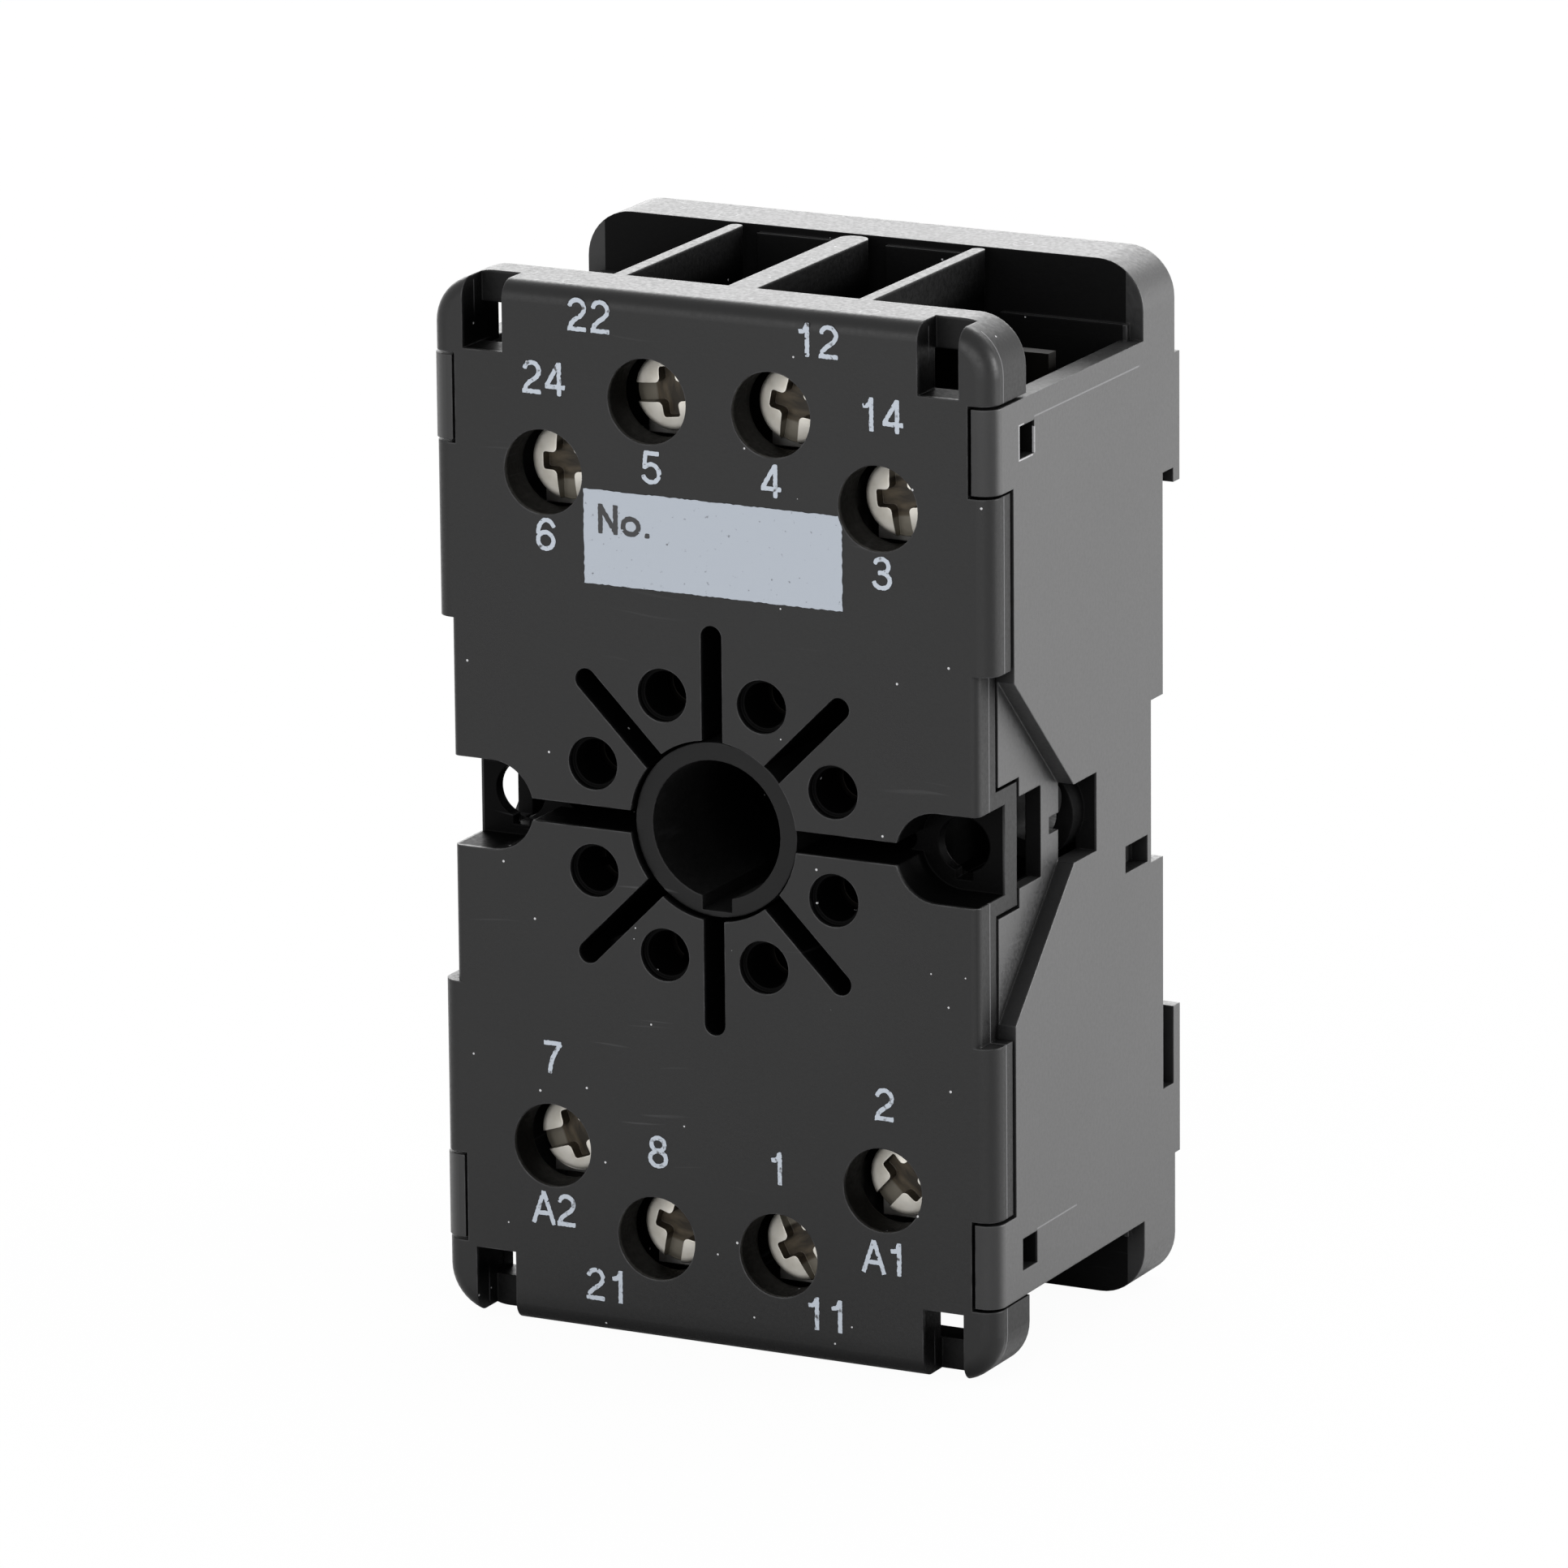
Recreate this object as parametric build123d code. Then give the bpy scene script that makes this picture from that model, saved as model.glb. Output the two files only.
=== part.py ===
from build123d import *
import math
import os

os.makedirs("parts", exist_ok=True)

# An eight-pin relay socket for a rail or a panel, in millimetres.
# x runs to the right, y into the socket from its front face, z up.
# The origin is the centre of the pin circle on the front face.

# Overall form
socket_width = 37.6
socket_height = 64.9
corner_radius = 3.0
fit_gap = 0.2

# Front housing
face_thickness = 2.4
face_inset = 0.1
face_edge_radius = 1.1
rim_depth = 4.6
rim_wall = 1.95
post_wall = 2.2
waist_half_height = 11.4
waist_inset = 1.15
waist_edge_radius = 0.5
outer_rib_x = 8.2
outer_rib_thickness = 0.85
centre_rib_thickness = 1.9
rib_end = 20.1
rib_start = 13.0
rib_round_share = 0.45
core_radius = 13.6

# Pins, key and slots
pin_circle_radius = 8.725
pin_count = 8
pin_hole_radius = 1.4
pin_rim_radius = 1.65
pin_rim_depth = 0.5
pin_hole_depth = 3.4
key_bore_radius = 4.3
key_bore_depth = 13.3
key_relief_radius = 4.9
key_relief_depth = 17.0
key_tube_wall = 1.1
key_tube_recess = 0.45
keyway_width = 2.0
keyway_depth = 0.75
slot_width = 1.4
slot_outer_radius = 12.7
slot_floor = 10.0
side_slot_outer_radius = 11.8

# Terminals
inner_terminal_x = 4.14
inner_terminal_inset = 6.45
outer_terminal_x = 11.18
outer_terminal_inset = 11.45
screw_well_radius = 2.625
screw_head_radius = 2.4
screw_crown_radius = 1.5
screw_crown_height = 0.6
screw_head_front = 2.8
screw_head_height = 1.8
screw_radius = 1.5
screw_point_radius = 1.05
screw_point_length = 0.45
screw_length = 10.0
screw_hole_gap = 0.06
driver_slot_width = 1.2
driver_slot_depth = 0.8
driver_cross_width = 0.9
driver_cross_depth = 1.2
driver_cross_reach = 1.5
driver_turns = (118.0, 46.0, 95.0, 79.0, 7.0, 91.0, 20.0, 75.0)
clamp_width = 4.5
clamp_length = 6.0
clamp_thickness = 1.0
clamp_lip = 0.8
clamp_lip_thickness = 0.7

# Contacts
strip_front = 12.0
strip_thickness = 1.0
strip_neck = 3.4
strip_rib_gap = 0.4
strip_wall_gap = 0.775
strip_knee_slope = 2.0
contact_outer_radius = 1.75
contact_inner_radius = 1.25
contact_lead_in = 0.5
contact_slit = 0.5
strip_eye_radius = 2.4
collar_radius = 2.4
collar_height = 1.2
inner_plate_width = 6.0
inner_plate_length = 6.0
outer_plate_inset = 4.05
cross_wall = 1.2

# Hold-down notches at the corners
notch_side_inset = 2.27
notch_width = 2.7
notch_height = 4.35
notch_depth = 2.55

# Panel mounting holes
mount_edge = 2.7
mount_hole_radius = 1.7
mount_slot_width = 1.1
mount_slot_half_length = 2.15
counterbore_radius = 2.8
counterbore_depth = 3.65
lug_half_height = 3.8
lug_depth = 5.25
mount_relief_radius = 2.2
mount_relief_front = 4.5
boss_radius = 3.0
boss_front = 12.4

# Base housing
rear_plate_front = 20.6
platform_front = 18.6
platform_half_height = 12.5
channel_face = 20.1
channel_half_height = 5.1
rail_face = 23.3
pad_face = 25.0
hook_face = 25.7
upper_pad_inset = 6.45
hook_lip_front = 24.8
upper_lip_z = 18.0
upper_groove_z = 18.9
lower_lip_z = -15.0
lower_groove_z = -19.9
lower_pad_inset = 8.05
side_wall = 1.4
wall_end_inset = 4.85
seam_gap = 0.25
panel_height = 0.45
panel_margin = 0.8
panel_top_margin = 0.45

# Snap hooks that hold the front housing
snap_length = 5.2
snap_window_size = 2.0
snap_window_front = 3.5
snap_front = 0.05
nose_reach = 0.5
nose_depth = 0.75
tongue_wall = 1.5
tongue_end = 5.4
tongue_half_height = 1.9

# Side recess and its windows
recess_depth = 1.1
recess_floor_wall = 1.0
recess_tip_y = 10.75
recess_tip_z = 2.45
floor_window_end = 8.4
floor_window_half_height = 2.85
bar_end = 10.85
bulge_y = 10.3
bulge_z = 1.35
bulge_radius = 1.05
side_window_end = 13.9
side_window_half_height = 2.45
tab_slot_front = 9.6
tab_slot_low = -0.5
tab_slot_high = 0.55
rear_slot_front = 17.95
rear_slot_low = -4.9
rear_slot_high = -3.2

# Rail clip
clip_half_width = 6.0
clip_flange_reach = 1.0
clip_front = 22.15
clip_flange_thickness = 0.75
clip_back = 24.9
clip_tip_back = 25.4
clip_seat_z = -16.2
clip_tip_z = -15.0
clip_tip_length = 3.0
clip_tail_inset = 4.15
clip_gap = 0.15
clip_tip_front = 24.4
driver_hole_width = 4.0
driver_hole_height = 1.5
driver_hole_margin = 1.2

# Places worked out from the sizes above
half_width = socket_width / 2
half_height = socket_height / 2
face_half_width = half_width - face_inset
waist_half_width = half_width - waist_inset
mount_hole_x = waist_half_width - mount_edge
notch_outer_x = half_width - notch_side_inset
notch_inner_x = notch_outer_x - notch_width
notch_floor_z = half_height - notch_height
wall_inner_x = half_width - side_wall
wall_half_height = half_height - wall_end_inset
wall_front = face_thickness + seam_gap
recess_floor_x = half_width - recess_depth
recess_top_z = recess_tip_z + recess_tip_y - wall_front
snap_bottom_z = wall_half_height - snap_length
snap_window_z = wall_half_height - snap_length / 2
snap_inner_x = wall_inner_x - face_inset
inner_terminal_z = half_height - inner_terminal_inset
outer_terminal_z = half_height - outer_terminal_inset
screw_head_back = screw_head_front + screw_head_height
clamp_back = screw_head_back + clamp_thickness
core_end = strip_front - fit_gap
strip_back = strip_front + strip_thickness
contact_front = pin_hole_depth + contact_lead_in
outer_plate_top = half_height - outer_plate_inset
key_tube_radius = key_bore_radius + key_tube_wall
centre_rib_face = centre_rib_thickness / 2
outer_rib_inner_face = outer_rib_x - outer_rib_thickness / 2
outer_rib_outer_face = outer_rib_x + outer_rib_thickness / 2
upper_pad_end = half_height - upper_pad_inset
lower_pad_end = lower_pad_inset - half_height
clip_tail_z = clip_tail_inset - half_height
through = 1.0


def block(x_range, y_range, z_range):
    """A box between two places on each axis."""
    sizes = [high - low for low, high in (x_range, y_range, z_range)]
    centres = [(high + low) / 2 for low, high in (x_range, y_range, z_range)]
    return Pos(*centres) * Box(*sizes)


def rod(x, z, radius, y_range):
    """A round bar along y."""
    front, back = y_range
    return Pos(x, (front + back) / 2, z) * Rot(90, 0, 0) * Cylinder(radius, back - front)


def plate(outline, y_range):
    """A sheet of the given outline in x and z, between two depths."""
    front, back = y_range
    placed = Plane.XZ.offset(-front) * outline
    return extrude(placed, amount=back - front, dir=(0, 1, 0))


def side_prism(points, x_range):
    """A prism along x of the given outline in y and z."""
    low, high = x_range
    outline = make_face(Polyline(*[(low, y, z) for y, z in points], close=True))
    return extrude(outline, amount=high - low, dir=(1, 0, 0))


def both_sides(shape):
    return [shape, mirror(shape, Plane.YZ)]


def both_ends(shape):
    return [shape, mirror(shape, Plane.XY)]


def four_corners(shape):
    return [copy for side in both_sides(shape) for copy in both_ends(side)]


def joined(shapes):
    whole = shapes[0]
    for shape in shapes[1:]:
        whole = whole + shape
    return whole


def cut(body, tools):
    for tool in tools:
        body = body - tool
    return body


def pin_place(number):
    """Centre of a pin hole, counted from the right of the keyway."""
    angle = math.radians(-90 + 360 / pin_count * (number - 0.5))
    return pin_circle_radius * math.cos(angle), pin_circle_radius * math.sin(angle)


def rib(centre_x, thickness):
    """A barrier between two wire entries, rounded at its free end."""
    body = block(
        (centre_x - thickness / 2, centre_x + thickness / 2),
        (face_thickness / 2, rib_end),
        (rib_start, half_height),
    )
    ends = body.edges().filter_by(Axis.Z).sort_by(Axis.Y)[-2:]
    return fillet(ends, thickness * rib_round_share)


def front_shell():
    """Face plate with its end rims and corner posts."""
    outline = RectangleRounded(2 * face_half_width, socket_height, corner_radius)
    face = plate(outline, (0, face_thickness))
    front_edges = face.faces().sort_by(Axis.Y)[0].outer_wire().edges()
    face = fillet(front_edges, face_edge_radius)
    rim = plate(outline, (face_thickness, rim_depth))
    rim -= block(
        (-face_half_width + post_wall, face_half_width - post_wall),
        (0, rim_depth + through),
        (-half_height + rim_wall, half_height - rim_wall),
    )
    rim -= block(
        (-half_width, half_width),
        (0, rim_depth + through),
        (-wall_half_height - fit_gap, wall_half_height + fit_gap),
    )
    return face + rim


def side_cuts():
    """Waist, snap hook places and hold-down notches."""
    tools = both_sides(block(
        (waist_half_width, half_width + through),
        (-through, face_thickness + through),
        (-waist_half_height, waist_half_height),
    ))
    round_x = waist_half_width - waist_edge_radius
    tools += both_sides(block(
        (round_x, half_width),
        (-through, waist_edge_radius),
        (-waist_half_height, waist_half_height),
    ) - Pos(round_x, waist_edge_radius, 0) * Cylinder(waist_edge_radius, socket_height))
    tools += four_corners(block(
        (snap_inner_x - fit_gap, half_width + through),
        (-through, face_thickness + through),
        (snap_bottom_z - fit_gap, wall_half_height + fit_gap),
    ))
    tools += four_corners(block(
        (notch_inner_x, notch_outer_x),
        (-through, notch_depth),
        (notch_floor_z, half_height + through),
    ))
    tools += four_corners(block(
        (notch_inner_x, notch_outer_x),
        (-through, face_thickness + through),
        (notch_floor_z, half_height - rim_wall),
    ))
    return tools


def radial_slots():
    """Slots between the pins, from the key tube outwards."""
    tools = []
    for step in range(pin_count):
        along_x = step % (pin_count // 2) == 0
        reach = side_slot_outer_radius if along_x else slot_outer_radius
        middle = reach - slot_width / 2
        bar = block(
            (key_bore_radius, middle),
            (-through, slot_floor),
            (-slot_width / 2, slot_width / 2),
        )
        bar += rod(middle, 0, slot_width / 2, (-through, slot_floor))
        tools.append(Rot(0, step * 360 / pin_count, 0) * bar)
    return tools


def pin_cavities():
    tools = []
    for number in range(1, pin_count + 1):
        x, z = pin_place(number)
        tools.append(rod(x, z, pin_rim_radius, (-through, pin_rim_depth)))
        tools.append(rod(x, z, pin_hole_radius, (-through, pin_hole_depth + through)))
        tools.append(rod(x, z, contact_outer_radius + fit_gap, (pin_hole_depth, core_end + through)))
    return tools


def mount_cuts():
    """Counterbore, screw hole and the open way out to the side."""
    tools = [rod(mount_hole_x, 0, counterbore_radius, (-through, counterbore_depth))]
    tools.append(block(
        (mount_hole_x, half_width + through),
        (-through, counterbore_depth),
        (-counterbore_radius, counterbore_radius),
    ))
    tools.append(block(
        (side_slot_outer_radius - slot_width, mount_hole_x),
        (-through, counterbore_depth),
        (-slot_width / 2, slot_width / 2),
    ))
    tools.append(rod(mount_hole_x, 0, mount_hole_radius, (0, core_end + through)))
    tools.append(rod(mount_hole_x, 0, mount_relief_radius, (mount_relief_front, lug_depth + through)))
    tools.append(block(
        (mount_hole_x - mount_slot_width / 2, mount_hole_x + mount_slot_width / 2),
        (0, core_end + through),
        (-mount_slot_half_length, mount_slot_half_length),
    ))
    tools.append(block(
        (mount_hole_x - counterbore_radius, mount_hole_x + counterbore_radius),
        (lug_depth, core_end + through),
        (-counterbore_radius, counterbore_radius),
    ))
    return [copy for tool in tools for copy in both_sides(tool)]


def snap_tongue():
    """Catch of the front housing that sits behind a snap hook's nose."""
    tip_x = snap_inner_x - fit_gap
    ledge_front = snap_window_front + fit_gap
    root = block(
        (tip_x - nose_reach - tongue_wall, tip_x - nose_reach),
        (face_thickness / 2, tongue_end),
        (snap_window_z - tongue_half_height, snap_window_z + tongue_half_height),
    )
    ledge = block(
        (tip_x - nose_reach - tongue_wall, tip_x),
        (ledge_front, tongue_end),
        (snap_window_z - snap_window_size / 2, snap_window_z + snap_window_size / 2),
    )
    return root + ledge


def front_cross_walls():
    """Walls that close the clamp chambers and bear on the contact strips."""
    wall_end = strip_front - fit_gap / 2
    inner_top = inner_terminal_z - clamp_length / 2 - fit_gap
    outer_top = outer_terminal_z - clamp_length / 2 - fit_gap
    inner = block(
        (0, outer_rib_x),
        (face_thickness / 2, wall_end),
        (inner_top - cross_wall, inner_top),
    )
    outer = block(
        (outer_rib_x, wall_inner_x - fit_gap),
        (face_thickness + fit_gap, wall_end),
        (outer_top - cross_wall, outer_top),
    )
    root = block(
        (outer_rib_x, waist_half_width - face_edge_radius),
        (face_thickness / 2, wall_end),
        (outer_top - cross_wall, outer_top),
    )
    return joined([inner, outer, root])


def screw_places():
    """Terminal number and screw axis, counted as the pins are."""
    return {
        1: (inner_terminal_x, -inner_terminal_z),
        2: (outer_terminal_x, -outer_terminal_z),
        3: (outer_terminal_x, outer_terminal_z),
        4: (inner_terminal_x, inner_terminal_z),
        5: (-inner_terminal_x, inner_terminal_z),
        6: (-outer_terminal_x, outer_terminal_z),
        7: (-outer_terminal_x, -outer_terminal_z),
        8: (-inner_terminal_x, -inner_terminal_z),
    }


def build_front_housing():
    body = cut(front_shell(), side_cuts())
    body += rod(0, 0, core_radius, (face_thickness / 2, core_end))
    for lug in both_sides(block(
        (mount_hole_x - counterbore_radius, waist_half_width),
        (face_thickness / 2, lug_depth),
        (-lug_half_height, lug_half_height),
    )):
        body += lug
    ribs = both_ends(rib(0, centre_rib_thickness))
    ribs += four_corners(rib(outer_rib_x, outer_rib_thickness))
    walls = four_corners(front_cross_walls())
    tongues = four_corners(snap_tongue())
    body = joined([body] + ribs + walls + tongues)
    wells = [
        rod(x, z, screw_well_radius, (-through, screw_head_back))
        for x, z in screw_places().values()
    ]
    key_hole = rod(0, 0, key_tube_radius + fit_gap, (-through, core_end + through))
    return cut(body, wells + [key_hole] + radial_slots() + pin_cavities() + mount_cuts())


def rear_body():
    """Rear plate with the rail seat, its hooks and the middle platform."""
    back = [
        (pad_face, half_height),
        (pad_face, upper_pad_end),
        (hook_face, upper_pad_end),
        (hook_face, upper_lip_z),
        (hook_lip_front, upper_lip_z),
        (hook_lip_front, upper_groove_z),
        (rail_face, upper_groove_z),
        (rail_face, channel_half_height),
        (channel_face, channel_half_height),
        (channel_face, -channel_half_height),
        (rail_face, -channel_half_height),
        (rail_face, lower_groove_z),
        (hook_lip_front, lower_groove_z),
        (hook_lip_front, lower_lip_z),
        (hook_face, lower_lip_z),
        (hook_face, lower_pad_end),
        (pad_face, lower_pad_end),
        (pad_face, -half_height),
    ]
    front = [
        (rear_plate_front, -half_height),
        (rear_plate_front, -platform_half_height),
        (platform_front, -platform_half_height),
        (platform_front, platform_half_height),
        (rear_plate_front, platform_half_height),
        (rear_plate_front, half_height),
    ]
    section = side_prism(back + front, (-half_width, half_width))
    outline = RectangleRounded(socket_width, socket_height, corner_radius)
    return section & plate(outline, (platform_front - through, hook_face + through))


def side_wall_body():
    """One side wall with its two snap hooks and the floor of its recess."""
    wall = block(
        (wall_inner_x, half_width),
        (wall_front, rear_plate_front + through),
        (-wall_half_height, wall_half_height),
    )
    hook = block(
        (wall_inner_x - face_inset, half_width),
        (snap_front, wall_front + through),
        (snap_bottom_z, wall_half_height),
    )
    corner = hook.edges().filter_by(Axis.Z).group_by(Axis.Y)[0].sort_by(Axis.X)[-1]
    hook = fillet(corner, face_edge_radius)
    nose = block(
        (wall_inner_x - nose_reach, wall_inner_x),
        (snap_window_front - nose_depth, snap_window_front),
        (snap_window_z - snap_window_size / 2, snap_window_z + snap_window_size / 2),
    )
    hook = hook + nose
    floor = block(
        (recess_floor_x - recess_floor_wall, wall_inner_x + side_wall / 2),
        (wall_front, bar_end),
        (-recess_top_z - side_wall, recess_top_z + side_wall),
    )
    return joined([wall, floor] + both_ends(hook))


def recess_tool():
    """The sunk triangle behind each mounting hole."""
    points = [
        (wall_front - through, recess_top_z + through),
        (recess_tip_y, recess_tip_z),
        (recess_tip_y, -recess_tip_z),
        (wall_front - through, -recess_top_z - through),
    ]
    prism = side_prism(points, (recess_floor_x, half_width + through))
    neck = block(
        (recess_floor_x, half_width + through),
        (recess_tip_y - through / 2, bar_end + through / 2),
        (-recess_tip_z, recess_tip_z),
    )
    return prism + neck


def side_wall_cuts():
    wall = (wall_inner_x - recess_depth - through, half_width + through)
    tools = [recess_tool()]
    tools.append(block(
        wall,
        (wall_front - through, floor_window_end),
        (-floor_window_half_height, floor_window_half_height),
    ))
    tools.append(block(
        wall,
        (wall_front - through, lug_depth + seam_gap),
        (-lug_half_height - seam_gap, lug_half_height + seam_gap),
    ))
    tools.append(block(
        wall,
        (bar_end, side_window_end),
        (-side_window_half_height, side_window_half_height),
    ))
    tools += both_ends(block(
        wall,
        (snap_window_front, snap_window_front + snap_window_size),
        (snap_window_z - snap_window_size / 2, snap_window_z + snap_window_size / 2),
    ))
    return tools


def bar_bulge():
    """Round swelling of the bar between the two windows, beside its notch."""
    x_range = (recess_floor_x - recess_floor_wall, recess_floor_x)
    middle = (x_range[0] + x_range[1]) / 2
    swelling = Pos(middle, bulge_y, bulge_z) * Rot(0, 90, 0) * Cylinder(bulge_radius, recess_floor_wall)
    return swelling - block(x_range, (0, floor_window_end), (0, half_height))


def tab_slot():
    return block(
        (wall_inner_x - recess_depth - through, half_width + through),
        (tab_slot_front, bar_end + through),
        (tab_slot_low, tab_slot_high),
    )


def rear_supports():
    """Walls and raised panels of the rear plate for one corner."""
    front = strip_back + fit_gap / 2
    inner_top = inner_terminal_z - clamp_length / 2 - fit_gap
    outer_top = outer_terminal_z - clamp_length / 2 - fit_gap
    inner_wall = block(
        (centre_rib_face + fit_gap, outer_rib_inner_face - fit_gap),
        (front, rear_plate_front + through),
        (inner_top - cross_wall, inner_top),
    )
    outer_wall = block(
        (outer_rib_outer_face + fit_gap, wall_inner_x + through / 2),
        (front, rear_plate_front + through),
        (outer_top - cross_wall, outer_top),
    )
    inner_panel = block(
        (centre_rib_face + panel_margin, outer_rib_inner_face - panel_margin),
        (rear_plate_front - panel_height, rear_plate_front + through),
        (inner_top - through / 2, half_height - panel_top_margin),
    )
    outer_panel = block(
        (outer_rib_outer_face + panel_margin, wall_inner_x + through / 2),
        (rear_plate_front - panel_height, rear_plate_front + through),
        (outer_top - through / 2, wall_half_height + through),
    )
    return [inner_wall, outer_wall, inner_panel, outer_panel]


def clip_channel():
    """Undercut channel that the rail clip slides in."""
    mouth_half = clip_half_width + clip_gap
    flange_half = mouth_half + clip_flange_reach
    mouth = block(
        (-mouth_half, mouth_half),
        (clip_front - clip_gap, hook_face + through),
        (-half_height - through, clip_seat_z + clip_gap),
    )
    lip_gap = block(
        (-mouth_half, mouth_half),
        (rail_face, hook_face + through),
        (-half_height - through, lower_lip_z + through),
    )
    undercut = block(
        (-flange_half, flange_half),
        (clip_front - clip_gap, clip_front + clip_flange_thickness + clip_gap),
        (-half_height - through, clip_seat_z + clip_gap),
    )
    return [mouth, lip_gap, undercut]


def build_base_housing():
    walls = cut(side_wall_body(), side_wall_cuts()) + bar_bulge() - tab_slot()
    body = joined([rear_body()] + both_sides(walls))
    for support in rear_supports():
        for copy in four_corners(support):
            body += copy
    for boss in both_sides(rod(mount_hole_x, 0, boss_radius, (boss_front, platform_front + through))):
        body += boss
    body += rod(0, 0, key_tube_radius, (key_tube_recess, platform_front + through))
    body -= rod(0, 0, key_bore_radius, (-through, key_bore_depth))
    body -= rod(0, 0, key_relief_radius, (key_bore_depth, key_relief_depth))
    body -= block(
        (-keyway_width / 2, keyway_width / 2),
        (-through, key_bore_depth),
        (-key_bore_radius - keyway_depth, 0),
    )
    holes = both_sides(rod(mount_hole_x, 0, mount_hole_radius + fit_gap, (boss_front - through, rail_face)))
    slot = block(
        (recess_floor_x, half_width + through),
        (rear_slot_front, channel_face + through),
        (rear_slot_low, rear_slot_high),
    )
    return cut(body, holes + both_sides(slot) + clip_channel())


def build_rail_clip():
    web = block((-clip_half_width, clip_half_width), (clip_front, clip_back), (clip_tail_z, clip_seat_z))
    flange_half = clip_half_width + clip_flange_reach
    flange = block(
        (-flange_half, flange_half),
        (clip_front, clip_front + clip_flange_thickness),
        (clip_tail_z, clip_seat_z),
    )
    tip_points = [
        (clip_tip_front, clip_seat_z - clip_tip_length),
        (clip_tip_front, clip_tip_z - (clip_tip_back - clip_tip_front) / 2),
        (clip_tip_front + (clip_tip_back - clip_tip_front) / 2, clip_tip_z),
        (clip_tip_back, clip_tip_z - (clip_tip_back - clip_tip_front) / 2),
        (clip_tip_back, clip_seat_z - clip_tip_length),
    ]
    tip = side_prism(tip_points, (-clip_half_width, clip_half_width))
    hole_low = clip_tail_z + driver_hole_margin
    hole = block(
        (-driver_hole_width / 2, driver_hole_width / 2),
        (clip_front - through, clip_back + through),
        (hole_low, hole_low + driver_hole_height),
    )
    return web + flange + tip - hole


def receptacle(number):
    """Split tube that grips one relay pin."""
    x, z = pin_place(number)
    tube = rod(x, z, contact_outer_radius, (contact_front, strip_front + strip_thickness / 2))
    angle = -math.degrees(math.atan2(z, x))
    slit = Rot(0, angle, 0) * block(
        (pin_circle_radius, pin_circle_radius + contact_outer_radius + through),
        (contact_front - through, strip_front - strip_thickness),
        (-contact_slit / 2, contact_slit / 2),
    )
    return tube - slit


def strip_outline(number):
    """Flat shape of a contact strip for the upper right quarter."""
    x, z = pin_place(number)
    eye = Pos(x, z) * Circle(strip_eye_radius)
    if number == 4:
        low = inner_terminal_z - inner_plate_length / 2
        neck_x = (x + inner_terminal_x) / 2
        neck = Pos(neck_x, (z + low) / 2) * Rectangle(strip_neck, low - z + through)
        terminal = Pos(inner_terminal_x, inner_terminal_z) * Rectangle(inner_plate_width, inner_plate_length)
        return eye + neck + terminal
    left = outer_rib_outer_face + strip_rib_gap
    right = wall_inner_x - strip_wall_gap
    low = outer_terminal_z - clamp_length / 2
    neck_x = left + strip_neck / 2
    knee_z = z + (neck_x - x) * strip_knee_slope
    run = math.hypot(neck_x - x, knee_z - z)
    tilt = math.degrees(math.atan2(knee_z - z, neck_x - x))
    arm = Pos((x + neck_x) / 2, (z + knee_z) / 2) * Rot(0, 0, tilt) * SlotCenterToCenter(run, strip_neck)
    neck = Pos(neck_x, (knee_z + low) / 2) * Rectangle(strip_neck, low - knee_z + through)
    terminal = Pos((left + right) / 2, (low + outer_plate_top) / 2) * Rectangle(
        right - left, outer_plate_top - low
    )
    return eye + arm + neck + terminal


def build_contact_strip(number):
    """Strip, pin receptacle and threaded collar of terminal 3 or 4."""
    x, z = screw_places()[number]
    pin_x, pin_z = pin_place(number)
    body = plate(strip_outline(number), (strip_front, strip_back))
    body += receptacle(number)
    body += rod(x, z, collar_radius, (strip_front + strip_thickness / 2, strip_back + collar_height))
    body -= rod(pin_x, pin_z, contact_inner_radius, (0, strip_back + through))
    return body - rod(x, z, screw_radius + screw_hole_gap, (0, strip_back + collar_height + through))


def build_clamp_plate(x, z):
    """Pressure plate under a screw head, with a lip at each end."""
    body = block(
        (x - clamp_width / 2, x + clamp_width / 2),
        (screw_head_back, clamp_back),
        (z - clamp_length / 2, z + clamp_length / 2),
    )
    lips = [
        (z - clamp_length / 2, z - clamp_length / 2 + clamp_lip_thickness),
        (z + clamp_length / 2 - clamp_lip_thickness, z + clamp_length / 2),
    ]
    for lip in lips:
        body += block((x - clamp_width / 2, x + clamp_width / 2), (screw_head_back, clamp_back + clamp_lip), lip)
    return body - rod(x, z, screw_radius + screw_hole_gap, (0, clamp_back + through))


def build_terminal_screw(x, z, turn):
    """Crowned screw with a slot and a shorter, deeper cross recess."""
    shank_end = screw_head_back + screw_length
    profile = [
        (0, screw_head_front),
        (screw_crown_radius, screw_head_front),
        (screw_head_radius, screw_head_front + screw_crown_height),
        (screw_head_radius, screw_head_back),
        (screw_radius, screw_head_back),
        (screw_radius, shank_end - screw_point_length),
        (screw_point_radius, shank_end),
        (0, shank_end),
    ]
    body = revolve(make_face(Polyline(*profile, close=True)), Axis.Y)
    slot = block(
        (-screw_head_radius - through, screw_head_radius + through),
        (screw_head_front - through, screw_head_front + driver_slot_depth),
        (-driver_slot_width / 2, driver_slot_width / 2),
    )
    cross = block(
        (-driver_cross_width / 2, driver_cross_width / 2),
        (screw_head_front - through, screw_head_front + driver_cross_depth),
        (-driver_cross_reach, driver_cross_reach),
    )
    return Pos(x, 0, z) * Rot(0, -turn, 0) * (body - slot - cross)


def save(shape, node):
    solids = shape.solids()
    shape = solids[0] if len(solids) == 1 else Compound(children=solids)
    shape.label = node
    export_step(shape, f"parts/{node}.step")


save(build_front_housing(), "front_housing")
save(build_base_housing(), "base_housing")
save(build_rail_clip(), "rail_clip")

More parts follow.
